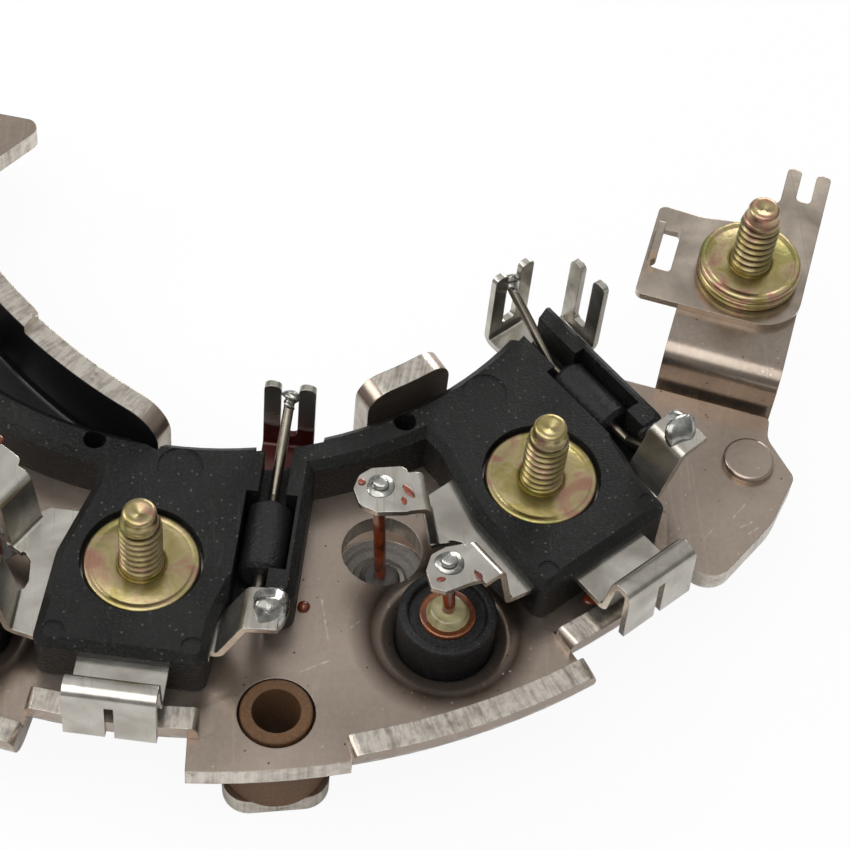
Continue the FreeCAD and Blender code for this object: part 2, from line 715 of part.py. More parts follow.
def main():
    os.makedirs("parts", exist_ok=True)
    save("positive_plate", positive_plate())
    save("negative_plate", negative_plate())
    strip = collector_strip()
    save("collector_strip", strip)
    bar = busbar()
    phase_stud = at(stud(stud_head_radius, bus_bottom - stud_head_height, bus_bottom, shank_top,
                         block_top + stud_above_block), stud_circle, 0, 0)
    insets = [strip]
    for i, angle in enumerate(module_angles):
        name = "_" + str(i + 1)
        insets += [turned(bar, angle), turned(phase_stud, angle)]
        save("phase_busbar" + name, turned(bar, angle))
        save("phase_stud" + name, turned(phase_stud, angle))
        phase_washer = at(washer(washer_radius, shank_radius + washer_bore_gap, bus_top, washer_top),
                          stud_circle, 0, 0)
        save("stud_washer" + name, turned(phase_washer, angle))
        for kind, place, hole, low in (
                ("positive", positive_diode_at, positive_tab_hole, positive_bottom - positive_diode_drop),
                ("negative", negative_diode_at, negative_tab_hole, 0)):
            seat = low + diode_height - cup_dish
            save(kind + "_diode" + name, turned(at(diode_cup(low), *place, 0), angle))
            save(kind + "_seal" + name, turned(at(diode_seal(seat), *place, 0), angle))
            save(kind + "_lead" + name, turned(diode_lead(place, seat, hole), angle))
        save("exciter_diode" + name, turned(exciter_body(), angle))
        save("exciter_leads" + name, turned(exciter_leads(), angle))
    save("terminal_block", terminal_block(insets))
    save("output_bracket", output_bracket())
    save("output_fork_plate", output_fork_plate())
    output_stud = stud(output_head_radius, bracket_top - bracket_sheet - output_head_height,
                       bracket_top - bracket_sheet, output_shank_top, output_washer_top + output_stud_above)
    save("output_stud", at(output_stud, output_at[0], output_at[1], 0))
    for i in range(output_washer_count):
        low = fork_plate_top + i * output_washer_sheet
        ring = washer(output_washer_radius, shank_radius + washer_bore_gap, low, low + output_washer_sheet)
        save("output_washer_" + str(i + 1), at(ring, output_at[0], output_at[1], 0))
    save("bracket_rivet_1", rivet(raised_rivet_at, rivet_head_radius, positive_top + rivet_head_height))
    save("bracket_rivet_2", rivet(flush_rivet_at, rivet_radius, positive_top))
    for i, place in enumerate(mount_places()):
        save("mounting_bush_" + str(i + 1), mounting_bush(place))


main()
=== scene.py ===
import bpy
import bmesh
import json
import math
import numpy as np
from mathutils import Matrix, Vector


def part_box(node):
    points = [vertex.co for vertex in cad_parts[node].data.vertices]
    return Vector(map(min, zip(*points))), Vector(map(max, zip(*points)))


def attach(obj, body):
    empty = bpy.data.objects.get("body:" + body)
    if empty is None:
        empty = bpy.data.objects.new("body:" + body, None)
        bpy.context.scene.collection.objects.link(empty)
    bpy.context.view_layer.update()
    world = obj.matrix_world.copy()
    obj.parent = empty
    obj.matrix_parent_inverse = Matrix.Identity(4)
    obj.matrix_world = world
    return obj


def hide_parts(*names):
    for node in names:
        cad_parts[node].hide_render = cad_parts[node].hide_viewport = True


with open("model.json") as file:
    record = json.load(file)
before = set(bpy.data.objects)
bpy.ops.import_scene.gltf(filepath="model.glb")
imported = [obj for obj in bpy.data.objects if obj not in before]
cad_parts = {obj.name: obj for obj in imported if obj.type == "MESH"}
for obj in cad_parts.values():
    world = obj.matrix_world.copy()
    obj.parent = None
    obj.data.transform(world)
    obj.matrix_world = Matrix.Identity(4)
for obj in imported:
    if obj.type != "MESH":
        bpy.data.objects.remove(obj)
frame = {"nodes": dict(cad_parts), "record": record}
scene = bpy.context.scene
scene.view_settings.view_transform = "Standard"
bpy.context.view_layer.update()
nodes = frame["nodes"]
mm = 0.001
print("frame loaded", len(nodes), "nodes")

# the ring of modules, as in the solids: angles in degrees, lengths in mm, places as (radial, along) a module
ring = {"angles": (-53.4, -98.6, -158.4), "studCircle": 60.3, "positiveDiode": (66.9, -19.1), "output": (63.26, -19.0),
        "plateTop": 13.4, "tabTop": 25.4, "flangeCentre": (33.2, 19.5)}
moduleAngles = [math.radians(a) for a in ring["angles"]]


def linear(red, green, blue):
    # sRGB bytes to linear light
    c = np.array([red, green, blue]) / 255.0
    c = np.where(c <= 0.04045, c / 12.92, ((c + 0.055) / 1.055) ** 2.4)
    return (float(c[0]), float(c[1]), float(c[2]), 1.0)


def onModule(point, angle):
    # turns a (radial, along, up) point by the module's angle about Z
    radial, along, up = point
    c, s = math.cos(angle), math.sin(angle)
    return np.array([radial * c - along * s, radial * s + along * c, up])


# camera, light and floor
cameraValues = {"place": (-0.22, -202.18, 245.03), "azimuth": 8.21, "elevation": 54.196, "roll": 6.789,
                "focalPixels": 2415.7, "framePixels": 850, "sensor": 36, "near": 0.01, "far": 20}


def makeCamera(v):
    az, el, roll = (math.radians(v[k]) for k in ("azimuth", "elevation", "roll"))
    forward = Vector((math.sin(az) * math.cos(el), math.cos(az) * math.cos(el), -math.sin(el)))
    right = Vector((math.cos(az), -math.sin(az), 0))
    up = right.cross(forward)
    turnedRight = right * math.cos(roll) + up * math.sin(roll)
    turnedUp = up * math.cos(roll) - right * math.sin(roll)
    data = bpy.data.cameras.new("camera")
    data.sensor_width = v["sensor"]
    data.lens = v["focalPixels"] / v["framePixels"] * v["sensor"]
    data.clip_start = v["near"]
    data.clip_end = v["far"]
    cam = bpy.data.objects.new("camera", data)
    scene.collection.objects.link(cam)
    turn = Matrix((turnedRight, turnedUp, -forward)).transposed().to_4x4()
    cam.matrix_world = Matrix.Translation(Vector(v["place"]) * mm) @ turn
    scene.camera = cam


makeCamera(cameraValues)

lightValues = {
    "overhead": {"place": (-0.12, -0.20, 0.55), "aim": (0, -0.03, 0.01), "size": 0.55, "power": 1.8},
    "left": {"place": (-0.5, 0.1, 0.35), "aim": (0, -0.03, 0.01), "size": 0.3, "power": 1.3},
    "back": {"place": (0.25, 0.55, 0.22), "aim": (0, -0.03, 0.01), "size": 0.3, "power": 1.6},
}
for name, v in lightValues.items():
    lampData = bpy.data.lights.new(name, "AREA")
    lampData.size = v["size"]
    lampData.energy = v["power"]
    lamp = bpy.data.objects.new(name, lampData)
    lamp.location = v["place"]
    lamp.rotation_euler = (Vector(v["aim"]) - Vector(v["place"])).to_track_quat("-Z", "Y").to_euler()
    scene.collection.objects.link(lamp)


class Wiring:
    # short calls for making and joining shader nodes in one tree
    def __init__(self, tree):
        self.tree = tree
        tree.nodes.clear()

    def add(self, kind, inputs=None, **settings):
        node = self.tree.nodes.new(kind)
        for key, value in settings.items():
            setattr(node, key, value)
        for key, value in (inputs or {}).items():
            self.put(node.inputs[key], value)
        return node

    def put(self, socket, value):
        if isinstance(value, bpy.types.NodeSocket):
            self.tree.links.new(value, socket)
        elif value is not None:
            socket.default_value = value

    def math(self, operation, a, b=None, c=None, clamp=False):
        node = self.add("ShaderNodeMath", operation=operation, use_clamp=clamp)
        for i, value in enumerate((a, b, c)):
            self.put(node.inputs[i], value)
        return node.outputs[0]

    def scaled(self, value, gain, offset, clamp=False):
        # value * gain + offset
        return self.math("MULTIPLY_ADD", value, gain, offset, clamp)

    def falling(self, value, width):
        # 1 where the value is 0, down to 0 where it reaches the width
        return self.math("SUBTRACT", 1.0, self.math("DIVIDE", value, width), clamp=True)

    def join(self, operation, values):
        # one operation over a whole list, such as the highest of many masks or their product
        total = values[0]
        for value in values[1:]:
            total = self.math(operation, total, value)
        return total

    def vector(self, operation, a, b=None):
        # gives a vector, or a number for a length or a dot product
        node = self.add("ShaderNodeVectorMath", {0: a, 1: b}, operation=operation)
        return node.outputs["Value" if operation in ("LENGTH", "DOT_PRODUCT") else "Vector"]

    def place(self):
        return self.add("ShaderNodeTexCoord").outputs["Object"]

    def mix(self, factor, a, b):
        node = self.add("ShaderNodeMix", data_type="RGBA")
        self.put(node.inputs[0], factor)
        self.put(node.inputs[6], a)
        self.put(node.inputs[7], b)
        return node.outputs[2]

    def ramp(self, factor, stops):
        node = self.add("ShaderNodeValToRGB", {"Fac": factor})
        elements = node.color_ramp.elements
        while len(elements) < len(stops):
            elements.new(0.5)
        for element, (place, colour) in zip(elements, stops):
            element.position = place
            element.color = colour if isinstance(colour, tuple) else (colour, colour, colour, 1)
        return node.outputs[0]

    def noise(self, vector, scale, detail=2.0, roughness=0.5, distortion=0.0):
        node = self.add("ShaderNodeTexNoise", {"Vector": vector, "Scale": scale, "Detail": detail,
                                               "Roughness": roughness, "Distortion": distortion})
        return node.outputs[0]


# the studio's grey over height, from straight down at 0 to straight up at 1; the camera itself sees white
skyStops = [(0.0, 0.36), (0.5, 0.26), (0.74, 0.24), (0.86, 0.56), (1.0, 0.66)]
world = bpy.data.worlds.new("studio")
scene.world = world
world.use_nodes = True
w = Wiring(world.node_tree)
path = w.add("ShaderNodeLightPath")
direction = w.add("ShaderNodeTexCoord").outputs["Generated"]
height = w.add("ShaderNodeSeparateXYZ", {0: direction}).outputs[2]
sky = w.ramp(w.scaled(height, 0.5, 0.5), skyStops)
back = w.mix(path.outputs["Is Camera Ray"], sky, (1, 1, 1, 1))
shade = w.add("ShaderNodeBackground", {"Color": back, "Strength": 1.0})
w.add("ShaderNodeOutputWorld", {"Surface": shade.outputs[0]})

floorValues = {"half": 3.0, "height": -0.0003, "colour": (0.86, 0.86, 0.86, 1), "whiteShare": 0.93}
floorMesh = bpy.data.meshes.new("floor")
corners = [(x * floorValues["half"], y * floorValues["half"], floorValues["height"])
           for x, y in ((-1, -1), (1, -1), (1, 1), (-1, 1))]
floorMesh.from_pydata(corners, [], [(0, 1, 2, 3)])
floor = bpy.data.objects.new("floor", floorMesh)
scene.collection.objects.link(floor)
floorMaterial = bpy.data.materials.new("paper")
floorMaterial.use_nodes = True
w = Wiring(floorMaterial.node_tree)
path = w.add("ShaderNodeLightPath")
matt = w.add("ShaderNodeBsdfDiffuse", {"Color": floorValues["colour"]})
white = w.add("ShaderNodeEmission", {"Color": (1, 1, 1, 1), "Strength": 1.0})
share = w.math("MULTIPLY", path.outputs["Is Camera Ray"], floorValues["whiteShare"])
mixed = w.add("ShaderNodeMixShader", {0: share, 1: matt.outputs[0], 2: white.outputs[0]})
w.add("ShaderNodeOutputMaterial", {"Surface": mixed.outputs[0]})
floorMesh.materials.append(floorMaterial)
print("camera, light and floor ready")


# shared effects as node groups
def newGroup(name, inputs, outputs):
    group = bpy.data.node_groups.new(name, "ShaderNodeTree")
    wiring = Wiring(group)
    for label, value in inputs.items():
        kind = "NodeSocketVector" if isinstance(value, tuple) else "NodeSocketFloat"
        socket = group.interface.new_socket(label, in_out="INPUT", socket_type=kind)
        socket.default_value = value
    for label in outputs:
        group.interface.new_socket(label, in_out="OUTPUT", socket_type="NodeSocketFloat")
    return group, wiring, wiring.add("NodeGroupInput").outputs, wiring.add("NodeGroupOutput").inputs


def makeGrain():
    # fine height and colour grain, and a coarse cloud: two noises of different scale
    group, w, source, sink = newGroup("grain", {"Scale": 900.0, "Coarse": 90.0}, ["Fine", "Cloud"])
    place = w.place()
    w.put(sink["Fine"], w.noise(place, source["Scale"], 3.0, 0.6))
    w.put(sink["Cloud"], w.noise(place, source["Coarse"], 4.0, 0.55, 0.4))
    return group


# the runs of fine scratches as (turn, stretch, width); patch is the noise level above which they show
scratchShape = {"runs": ((0.5, 26.0, 0.010), (2.1, 18.0, 0.008), (1.2, 34.0, 0.007)), "patch": 0.52}


def makeScratches(v):
    # thin lines: noise stretched along a direction, kept only near its middle value and inside patches
    group, w, source, sink = newGroup("scratches", {"Scale": 60.0, "Amount": 0.5}, ["Lines"])
    place = w.place()
    runs = []
    for turn, stretch, width in v["runs"]:
        mapping = w.add("ShaderNodeMapping", {"Vector": place, "Rotation": (0, 0, turn),
                                              "Scale": (stretch / 10, 0.10, 1.0)})
        field = w.noise(mapping.outputs[0], source["Scale"], 2.0, 0.5, 0.15)
        line = w.falling(w.math("ABSOLUTE", w.math("SUBTRACT", field, 0.5)), width)
        patch = w.noise(place, 70.0 + turn * 30, 2.0)
        runs.append(w.math("MULTIPLY", line, w.math("GREATER_THAN", patch, v["patch"])))
    w.put(sink["Lines"], w.math("MULTIPLY", w.join("MAXIMUM", runs), source["Amount"], clamp=True))
    return group


def makeSpecks(threshold=0.62):
    # small round specks: cells whose centre is near, and only those whose random tone is above the threshold
    group, w, source, sink = newGroup("specks", {"Scale": 700.0, "Size": 0.16}, ["Mask"])
    cells = w.add("ShaderNodeTexVoronoi", {"Vector": w.place(), "Scale": source["Scale"]})
    near = w.falling(cells.outputs["Distance"], source["Size"])
    tone = w.add("ShaderNodeSeparateColor", {0: cells.outputs["Color"]}).outputs[0]
    w.put(sink["Mask"], w.math("MULTIPLY", near, w.math("GREATER_THAN", tone, threshold)))
    return group


def makeStroke():
    # one straight scratch: 1 minus the distance to the line from A to B over its width
    group, w, source, sink = newGroup("stroke", {"A": (0, 0, 0), "B": (0, 0, 0), "Width": 0.1 * mm}, ["Mask"])
    fromStart = w.vector("SUBTRACT", w.place(), source["A"])
    run = w.vector("SUBTRACT", source["B"], source["A"])
    share = w.math("DIVIDE", w.vector("DOT_PRODUCT", fromStart, run), w.vector("DOT_PRODUCT", run, run), clamp=True)
    foot = w.add("ShaderNodeVectorMath", {0: run, "Scale": share}, operation="SCALE").outputs[0]
    off = w.vector("LENGTH", w.vector("SUBTRACT", fromStart, foot))
    w.put(sink["Mask"], w.falling(off, source["Width"]))
    return group


def makePaintedShadeRing():
    # a soft ring round a centre: 1 minus the distance to its circle over its width
    group, w, source, sink = newGroup("paintedShadeRing", {"Centre": (0, 0, 0), "Radius": 8 * mm, "Width": 2 * mm}, ["Mask"])
    far = w.vector("LENGTH", w.vector("SUBTRACT", w.place(), source["Centre"]))
    off = w.math("ABSOLUTE", w.math("SUBTRACT", far, source["Radius"]))
    w.put(sink["Mask"], w.falling(off, source["Width"]))
    return group


strokeGroup = makeStroke()
paintedShadeRingGroup = makePaintedShadeRing()
grainGroup = makeGrain()
scratchGroup = makeScratches(scratchShape)
speckGroup = makeSpecks()


def useGroup(w, group, **values):
    return w.add("ShaderNodeGroup", values, node_tree=group).outputs


def useGrain(w, v):
    grain = useGroup(w, grainGroup, Scale=v["grain"][0], Coarse=v["grain"][1])
    return grain["Fine"], grain["Cloud"]


def useLines(w, v):
    return useGroup(w, scratchGroup, Scale=v["lines"][0], Amount=v["lines"][1])["Lines"]


def useSpecks(w, scale, size):
    return useGroup(w, speckGroup, Scale=scale, Size=size)["Mask"]


def newMaterial(name, plain):
    material = bpy.data.materials.new(name)
    material.use_nodes = True
    material.diffuse_color = plain
    return material, Wiring(material.node_tree)


def finishMaterial(w, v, colour, roughness, height, metal=None, **plain):
    # v gives bump as (strength, depth in mm) and may give soften, the radius in mm of the edges' shading
    shader = w.add("ShaderNodeBsdfPrincipled", {"Base Color": colour, "Roughness": roughness, "Metallic": metal})
    for key, value in plain.items():
        shader.inputs[key.replace("_", " ")].default_value = value
    soft = w.add("ShaderNodeBevel", {"Radius": v.get("soften", 0.15) * mm}, samples=4)
    strength, depth = v["bump"]
    lift = w.add("ShaderNodeBump", {"Height": height, "Strength": strength, "Distance": depth * mm,
                                    "Normal": soft.outputs[0]})
    w.put(shader.inputs["Normal"], lift.outputs[0])
    w.add("ShaderNodeOutputMaterial", {"Surface": shader.outputs[0]})


# grain is (fine scale, cloud scale), lines (scale, amount), specks (scale, size); lengths in mm
plateFinish = {
    "face": linear(186, 168, 154), "dark": linear(140, 123, 110), "edge": linear(222, 214, 202),
    # the coat colour is black painted shade, for the flange's side and the sheet beside it
    "fracture": linear(120, 106, 96), "paintedShadeBlack": linear(18, 18, 18), "pitAndShade": linear(70, 58, 50), "roughness": 0.27,
    "bump": (0.18, 0.1), "grain": (1500.0, 55.0), "lines": (60.0, 0.12), "chips": (620.0, 0.22),
    # the ring radius and width below give the painted shade round each positive diode, which is drawn in the pits'
    # colour
    "pits": (760.0, 0.13), "paintedGlints": (910.0, 0.14), "strokeWidth": 0.15, "shadeRingRadius": 8.4, "shadeRingWidth": 2.6,
    # scratches on the face as x, y to x, y
    "strokes": [(58.9, -50.1, 60.6, -48.1), (60.5, -52.2, 61.7, -51.4), (59.7, -51.3, 61.1, -50.6),
                (8.3, -70.1, 11.6, -68.7), (14.0, -64.6, 16.5, -62.5), (54.6, -53.7, 56.3, -51.7),
                (10.9, -60.9, 11.5, -66.1), (21.6, -55.7, 22.9, -59.7)],
    # the black painted shade beside the flange, where it and the sheet lie in shade: past the first radius about the
    # flange's centre, within the second about the ring's, and bounded by y, x and z
    "pastFlange": 75.3, "withinRing": 46.5, "frontOf": -15, "leftOf": -4, "above": 12,
    # tear lines on the cut: flangeReach tells the flange from the rest, tearRadius turns angle into length
    "flangeReach": 60, "tearRadius": 76, "tearStretch": 0.14, "tearScale": 1700.0,
}


def makePlateMaterial(name, v):
    # the sheet's face is cloudy, scratched and pitted; where the attribute shear is 1 it is cut metal, half bright,
    # half torn, and where it is -1 it is painted black as shade
    material, w = newMaterial(name, v["face"])
    fine, cloud = useGrain(w, v)
    lines = useLines(w, v)
    face = w.mix(w.scaled(cloud, 1.8, -0.45, clamp=True), v["dark"], v["face"])
    face = w.mix(w.math("MULTIPLY", fine, 0.25), face, v["edge"])
    face = w.mix(lines, face, v["edge"])
    # single scratches, broken up by the fine grain
    top = ring["plateTop"] * mm
    marks = [useGroup(w, strokeGroup, A=(ax * mm, ay * mm, top), B=(bx * mm, by * mm, top),
                      Width=v["strokeWidth"] * mm)[0] for ax, ay, bx, by in v["strokes"]]
    broken = w.scaled(fine, 3.2, -1.2, clamp=True)
    face = w.mix(w.math("MULTIPLY", w.join("MAXIMUM", marks), broken), face, v["edge"])
    # painted shade: a dark cloudy ring on the plate round each positive diode, where the collar curves down into shade
    centres = [onModule((*ring["positiveDiode"], ring["plateTop"]), angle) * mm for angle in moduleAngles]
    paintedShadeRings = [useGroup(w, paintedShadeRingGroup, Centre=tuple(centre), Radius=v["shadeRingRadius"] * mm,
                       Width=v["shadeRingWidth"] * mm)[0] for centre in centres]
    paintedShadeRing = w.math("MULTIPLY", w.join("MAXIMUM", paintedShadeRings), w.scaled(cloud, 1.8, 0.1, clamp=True))
    face = w.mix(paintedShadeRing, face, v["pitAndShade"])
    # dark pits, and pale dots that are painted glints, small and scattered
    face = w.mix(w.math("MULTIPLY", useSpecks(w, *v["pits"]), 1.6, clamp=True), face, v["pitAndShade"])
    face = w.mix(w.math("MULTIPLY", useSpecks(w, *v["paintedGlints"]), 0.8), face, v["edge"])
    # tear lines run across the cut: noise over the arc, drawn out along the radius; the flange turns about its
    # own centre, the rest about the ring's
    place = w.place()
    fx, fy = ring["flangeCentre"]
    radii, angles = [], []
    for vector in (w.vector("SUBTRACT", place, (fx * mm, fy * mm, 0)), place):
        radii.append(w.vector("LENGTH", w.vector("MULTIPLY", vector, (1, 1, 0))))
        across, along, _ = w.add("ShaderNodeSeparateXYZ", {0: vector}).outputs
        angles.append(w.math("ARCTAN2", along, across))
    inner = w.math("LESS_THAN", radii[1], v["flangeReach"] * mm)
    arc = w.math("ADD", w.math("MULTIPLY", angles[0], inner),
                 w.math("MULTIPLY", angles[1], w.math("SUBTRACT", 1.0, inner)))
    tear = w.add("ShaderNodeCombineXYZ", {0: w.math("MULTIPLY", arc, v["tearRadius"] * mm),
                                          1: w.math("MULTIPLY", radii[1], v["tearStretch"])}).outputs[0]
    torn = w.math("ADD", w.math("MULTIPLY", w.noise(place, 520.0, 3.0, 0.7), 0.45),
                  w.math("MULTIPLY", w.noise(tear, v["tearScale"], 3.0, 0.65), 0.55))
    cut = w.mix(w.math("MULTIPLY", useSpecks(w, *v["chips"]), 0.7), v["edge"], v["fracture"])
    cut = w.mix(w.scaled(torn, 3.4, -1.5, clamp=True), cut, v["fracture"])
    mark = w.add("ShaderNodeAttribute", attribute_name="shear").outputs["Fac"]
    shear = w.math("MAXIMUM", mark, 0.0)
    # painted shade: the sheet between the flange and the block, which lies in shade, is painted black too
    x, y, z = w.add("ShaderNodeSeparateXYZ", {0: place}).outputs
    between = [w.math("GREATER_THAN", radii[0], v["pastFlange"] * mm),
               w.math("LESS_THAN", radii[1], v["withinRing"] * mm), w.math("LESS_THAN", y, v["frontOf"] * mm),
               w.math("LESS_THAN", x, v["leftOf"] * mm), w.math("GREATER_THAN", z, v["above"] * mm)]
    paintedShadeOrVarnish = w.math("MAXIMUM", w.math("MULTIPLY", mark, -1.0, clamp=True), w.join("MULTIPLY", between))
    colour = w.mix(paintedShadeOrVarnish, w.mix(shear, face, cut), v["paintedShadeBlack"])
    rough = w.scaled(shear, -0.04, w.scaled(cloud, 0.16, v["roughness"] - 0.08))
    high = w.math("ADD", w.math("MULTIPLY", fine, 0.5), w.math("MULTIPLY", w.math("MULTIPLY", shear, torn), 3.0))
    high = w.math("SUBTRACT", high, w.math("MULTIPLY", lines, 0.4))
    finishMaterial(w, v, colour, rough, high, w.scaled(paintedShadeOrVarnish, -0.9, 0.9))
    return material


tinFinish = {"light": linear(228, 225, 216), "dark": linear(166, 160, 150), "varnish": linear(66, 18, 12),
             "roughness": 0.22, "bump": (0.10, 0.1), "grain": (1300.0, 160.0), "lines": (80.0, 0.4),
             "varnishTop": 0.0, "varnishLeftOf": 15.0, "varnishWave": 4.0}


def makeTinMaterial(name, v):
    # tinned sheet: bright, with cloudy dull patches and short rubbing marks
    material, w = newMaterial(name, v["light"])
    fine, cloud = useGrain(w, v)
    colour = w.mix(w.scaled(cloud, 2.2, -0.7, clamp=True), v["dark"], v["light"])
    colour = w.mix(useLines(w, v), colour, v["dark"])
    rough = w.scaled(cloud, 0.24, v["roughness"] - 0.1)
    # varnish from below up to a wavy line: (top height - height + cloud) over a millimetre, left of a plane only
    x, y, height = w.add("ShaderNodeSeparateXYZ", {0: w.place()}).outputs
    line = w.scaled(cloud, v["varnishWave"] * mm, (v["varnishTop"] - v["varnishWave"] / 2) * mm)
    paintedShadeOrVarnish = w.math("DIVIDE", w.math("SUBTRACT", line, height), 1.0 * mm, clamp=True)
    paintedShadeOrVarnish = w.math("MULTIPLY", paintedShadeOrVarnish, w.math("LESS_THAN", x, v["varnishLeftOf"] * mm))
    colour = w.mix(paintedShadeOrVarnish, colour, v["varnish"])
    finishMaterial(w, v, colour, rough, fine, w.scaled(paintedShadeOrVarnish, -0.7, 0.95))
    return material


zincFinish = {"gold": linear(160, 145, 90), "rose": linear(172, 128, 112), "green": linear(140, 150, 98),
              "pale": linear(178, 164, 122), "groove": linear(52, 34, 24), "roughness": 0.31, "bump": (0.22, 0.1),
              "grain": (1600.0, 300.0), "lines": (110.0, 0.35)}


def makeZincMaterial(name, v):
    # passivated zinc: a thin film whose tint drifts from gold to rose and green, with painted shade darkening the
    # thread grooves
    material, w = newMaterial(name, v["gold"])
    place = w.place()
    drift = w.noise(place, 210.0, 3.0, 0.55, 1.2)
    tint = w.ramp(drift, [(0.25, v["green"]), (0.42, v["gold"]), (0.55, v["pale"]), (0.68, v["rose"]),
                          (0.85, v["gold"])])
    fine, cloud = useGrain(w, v)
    colour = w.mix(useLines(w, v), tint, v["pale"])
    # painted shade: the colour goes dark brown where the thread is deep
    groove = w.add("ShaderNodeAttribute", attribute_name="groove").outputs["Fac"]
    colour = w.mix(w.math("MULTIPLY", groove, 1.3, clamp=True), colour, v["groove"])
    rough = w.scaled(cloud, 0.2, v["roughness"] - 0.08)
    high = w.math("ADD", fine, w.math("MULTIPLY", w.noise(place, 900.0, 3.0, 0.6), 1.5))
    finishMaterial(w, v, colour, rough, high, Metallic=0.95)
    return material


mouldFinish = {"base": linear(15, 15, 14), "worn": linear(36, 36, 35), "speck": linear(150, 148, 144),
               "roughness": 0.5, "soften": 0.12, "bump": (0.8, 0.2), "grain": (3000.0, 130.0), "lines": (260.0, 0.1),
               "specks": (1400.0, 0.24), "speckShare": 0.35, "lineShare": 0.35}
diodeFinish = {**mouldFinish, "base": linear(24, 24, 25), "worn": linear(44, 43, 43), "speck": linear(120, 116, 110),
               "roughness": 0.34, "soften": 0.2, "speckShare": 0.2}
canFinish = {**mouldFinish, "base": linear(150, 146, 140), "worn": linear(178, 172, 164), "speck": linear(110, 104, 98),
             "roughness": 0.4, "soften": 0.2, "speckShare": 0.3}
bushFinish = {**mouldFinish, "base": linear(92, 66, 44), "worn": linear(118, 88, 62), "speck": linear(60, 44, 32),
              "roughness": 0.5, "soften": 0.2, "speckShare": 0.2}


def makeMouldMaterial(name, v):
    # moulded plastic: matt grain, soft worn clouds, pale dust specks and faint scratches
    material, w = newMaterial(name, v["base"])
    fine, cloud = useGrain(w, v)
    colour = w.mix(w.scaled(cloud, 1.6, -0.6, clamp=True), v["base"], v["worn"])
    colour = w.mix(w.scaled(fine, 3.2, -1.5, clamp=True), colour, v["worn"])
    colour = w.mix(w.math("MULTIPLY", useSpecks(w, *v["specks"]), v["speckShare"]), colour, v["speck"])
    colour = w.mix(w.math("MULTIPLY", useLines(w, v), v["lineShare"]), colour, v["speck"])
    rough = w.scaled(cloud, 0.2, v["roughness"] - 0.1)
    finishMaterial(w, v, colour, rough, fine, Specular_IOR_Level=0.22)
    return material


solderFinish = {"light": linear(214, 214, 208), "dark": linear(128, 126, 120), "bump": (0.6, 0.3),
                "grain": (700.0, 420.0)}


def makeSolderMaterial(name, v):
    # solder: bright and wavy, with dull grey flux patches
    material, w = newMaterial(name, v["light"])
    cloud = useGrain(w, v)[1]
    colour = w.mix(w.scaled(cloud, 3.0, -1.1, clamp=True), v["dark"], v["light"])
    finishMaterial(w, v, colour, w.scaled(cloud, 0.35, 0.08), cloud, Metallic=1.0)
    return material


varnishFinish = {"thin": linear(146, 66, 28), "thick": linear(74, 26, 13), "roughness": 0.2, "bump": (0.2, 0.1),
                 "grain": (500.0, 600.0)}


def makeVarnishMaterial(name, v):
    # varnish: red brown, glossy, darker where it is thick
    material, w = newMaterial(name, v["thin"])
    cloud = useGrain(w, v)[1]
    colour = w.mix(w.scaled(cloud, 2.6, -0.8, clamp=True), v["thick"], v["thin"])
    finishMaterial(w, v, colour, v["roughness"], cloud, Metallic=0.1, Coat_Weight=0.8, Coat_Roughness=0.08)
    return material


sealFinish = {"ring": linear(150, 92, 58), "ringDark": linear(92, 52, 34), "glass": linear(176, 168, 128),
              "glassDark": linear(116, 106, 70), "roughness": 0.25, "bump": (0.15, 0.1), "grain": (900.0, 500.0)}


def makeSealMaterial(name, v):
    # where the attribute bead is 1 it is pale glass, elsewhere a stained metal ring
    material, w = newMaterial(name, v["ring"])
    height = useGrain(w, v)[1]
    cloud = w.scaled(height, 2.4, -0.7, clamp=True)
    ringColour = w.mix(cloud, v["ringDark"], v["ring"])
    glassColour = w.mix(cloud, v["glassDark"], v["glass"])
    bead = w.add("ShaderNodeAttribute", attribute_name="bead").outputs["Fac"]
    colour = w.mix(bead, ringColour, glassColour)
    finishMaterial(w, v, colour, v["roughness"], height, w.scaled(bead, -0.7, 0.7), Coat_Weight=0.4)
    return material


plainSealFinish = {**sealFinish, "ring": linear(150, 148, 142), "ringDark": linear(112, 110, 106),
                   "glass": linear(84, 80, 76), "glassDark": linear(50, 48, 46)}
dullNickelFinish = {**plateFinish, "face": linear(166, 150, 136), "dark": linear(120, 106, 94)}
dullTinFinish = {**tinFinish, "light": linear(158, 150, 136), "dark": linear(108, 100, 88)}
warmTinFinish = {**tinFinish, "light": linear(206, 193, 178), "dark": linear(160, 147, 134)}

# one material for each slot of the record, then variants for single pieces
materials = {
    "plated_steel": makePlateMaterial("nickelPlate", plateFinish),
    "tinned_metal": makeTinMaterial("tinnedSheet", tinFinish),
    "yellow_zinc": makeZincMaterial("yellowZinc", zincFinish),
    "black_moulding": makeMouldMaterial("blackMoulding", mouldFinish),
    "black_diode": makeMouldMaterial("diodeBody", diodeFinish),
    "plain_diode": makeMouldMaterial("diodeCan", canFinish),
    "brown_insulator": makeMouldMaterial("bushInsulator", bushFinish),
    "copper_seal": makeSealMaterial("diodeSeal", sealFinish),
    "varnished_lead": makeVarnishMaterial("varnish", varnishFinish),
    "solder": makeSolderMaterial("solder", solderFinish),
    "plainSeal": makeSealMaterial("plainSeal", plainSealFinish),
    "dullNickel": makePlateMaterial("dullNickel", dullNickelFinish),
    "dullTin": makeTinMaterial("dullTin", dullTinFinish),
    "warmTin": makeTinMaterial("warmTin", warmTinFinish),
    "varnishedTin": makeTinMaterial("varnishedTin", {**tinFinish, "varnishTop": 19.0}),
}
print("materials ready")


# helpers that make and link the pieces
def linkPiece(name, mesh, material, replaced=None):
    mesh.materials.clear()
    mesh.materials.append(materials[material])
    piece = bpy.data.objects.new(name, mesh)
    scene.collection.objects.link(piece)
    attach(piece, "root")
    if replaced:
        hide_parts(replaced)


